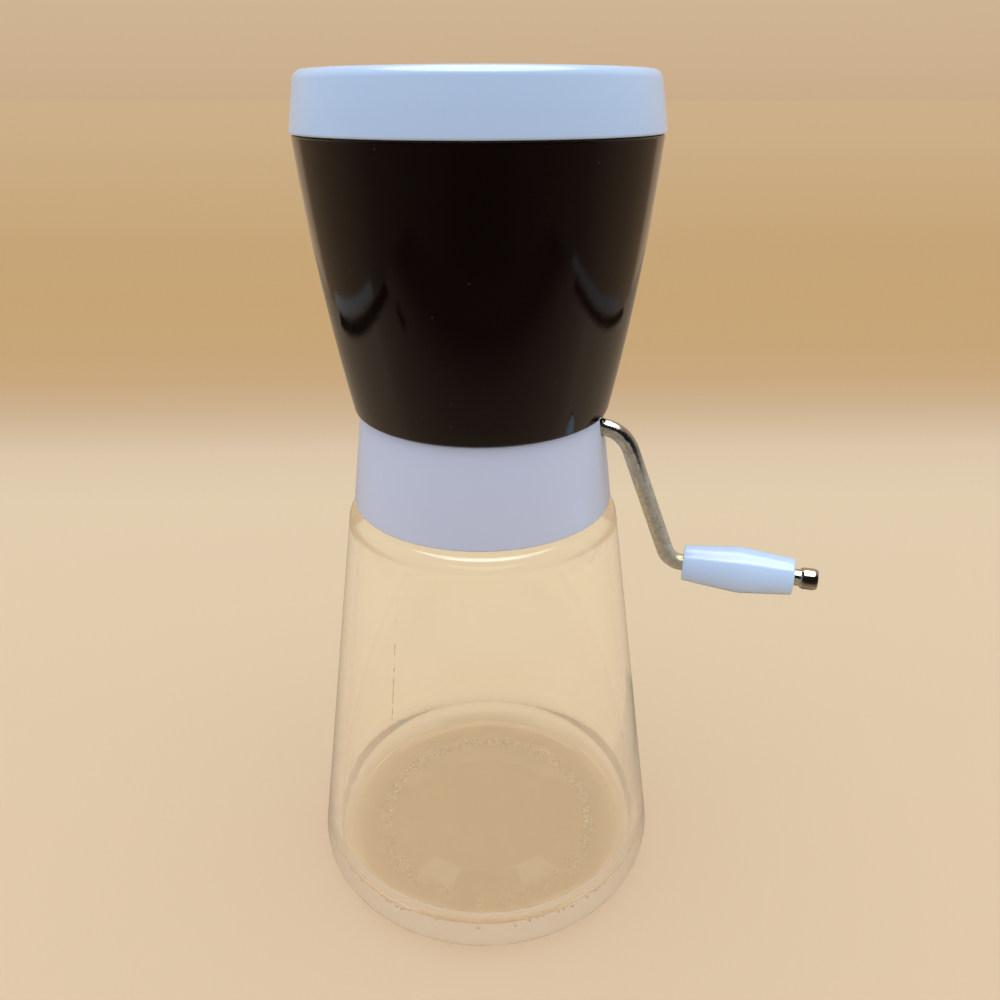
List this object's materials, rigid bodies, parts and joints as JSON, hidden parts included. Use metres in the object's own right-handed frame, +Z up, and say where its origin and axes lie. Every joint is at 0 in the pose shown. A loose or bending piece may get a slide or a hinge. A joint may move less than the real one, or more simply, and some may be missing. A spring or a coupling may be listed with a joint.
{
  "type": "nut chopper",
  "caption": "Hand cranked nut chopper: a flared hopper with a lid and a bladed crank over a slotted grate, screwed by its collar onto a tapered glass jar.",
  "frame": {"origin": "centre of the jar's foot, on the table", "axes": "+Z up along the body's axis; +X along the crank shaft, out of the body towards the grip; +Y completes a right-handed frame"},
  "size_m": [0.1296, 0.0954, 0.2056],
  "materials": {
    "glass": "clear pressed soda-lime glass",
    "liner": "soft pale sealing ring",
    "white_plastic": "glossy white moulding",
    "dark_plastic": "glossy very dark brown moulding",
    "tinned_steel": "tinned sheet steel",
    "blade_steel": "stamped and ground steel",
    "plated_steel": "bright nickel plating, worn and pitted below",
    "plain_steel": "plain turned steel"
  },
  "bodies": {
    "jar": {"glass_jar": "glass"},
    "liner": {"jar_liner": "liner"},
    "head": {"collar": "white_plastic", "hopper": "dark_plastic", "chopping_grate": "tinned_steel", "hopper_screws": "plain_steel"},
    "crank": {"crank_rod": "plated_steel", "blade_1": "blade_steel", "blade_2": "blade_steel", "blade_3": "blade_steel", "blade_4": "blade_steel", "blade_5": "blade_steel", "blade_6": "blade_steel", "spacer_1": "plain_steel", "spacer_2": "plain_steel", "spacer_3": "plain_steel", "spacer_4": "plain_steel", "spacer_5": "plain_steel", "near_thrust_washer": "plain_steel", "far_thrust_washer": "plain_steel", "retaining_clip": "plain_steel", "grip_cap": "plated_steel"},
    "grip": {"crank_grip": "white_plastic"},
    "lid": {"lid": "white_plastic"}
  },
  "joints": [
    {"name": "liner_rise", "type": "slide", "parent": "jar", "child": "liner", "axis": [0, 0, 1], "range_m": [0, 0.01525]},
    {"name": "head_unscrew", "type": "hinge", "parent": "liner", "child": "head", "pos_m": [0, 0, 0.11985], "axis": [0, 0, 1], "range_deg": [0, 1080]},
    {"name": "crank_turn", "type": "hinge", "parent": "head", "child": "crank", "pos_m": [0, 0, 0.13045], "axis": [1, 0, 0], "continuous": true},
    {"name": "grip_spin", "type": "hinge", "parent": "crank", "child": "grip", "pos_m": [0.0636, 0, 0.09735], "axis": [1, 0, 0], "continuous": true},
    {"name": "lid_lift", "type": "slide", "parent": "head", "child": "lid", "axis": [0, 0, 1], "range_m": [0, 0.04]}
  ],
  "couplings": [
    {"joint": "liner_rise", "follows": "head_unscrew", "m_per_rad": 0.00080851}
  ]
}
